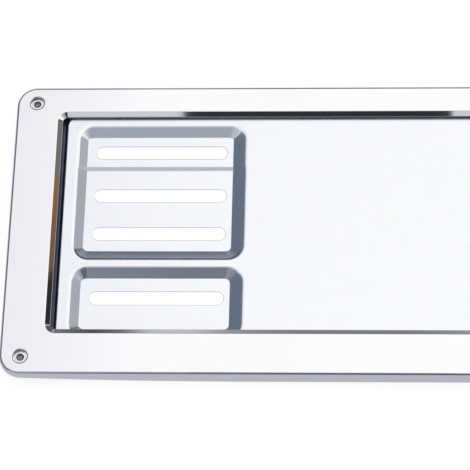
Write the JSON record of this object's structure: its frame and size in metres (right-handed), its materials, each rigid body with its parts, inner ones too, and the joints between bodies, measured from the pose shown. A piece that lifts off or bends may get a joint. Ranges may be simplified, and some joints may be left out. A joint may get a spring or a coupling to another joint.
{
  "type": "number plate holder",
  "caption": "Wide number plate holder for a car: polished rectangular bezel with a window, screwed over a pressed back plate with slotted trays.",
  "frame": {"origin": "the middle of the holder's box, at the underside of the tray floors, where the holder lies on a flat surface", "axes": "+X along the number plate to the right as it is read, +Y up the number plate, +Z out of the holder's face"},
  "size_m": [0.4866, 0.179, 0.01],
  "materials": {
    "polished_steel": "mirror polished stainless sheet",
    "zinc_coated_steel": "satin zinc coated sheet",
    "screw_steel": "bright, dark in the socket",
    "standoff_steel": "plain zinc plated"
  },
  "bodies": {
    "root": {"bezel": "polished_steel", "back_plate": "zinc_coated_steel", "screw_top_left": "screw_steel", "screw_top_right": "screw_steel", "screw_bottom_left": "screw_steel", "screw_bottom_right": "screw_steel", "standoff_top_left": "standoff_steel", "standoff_top_right": "standoff_steel", "standoff_bottom_left": "standoff_steel", "standoff_bottom_right": "standoff_steel"}
  },
  "joints": []
}
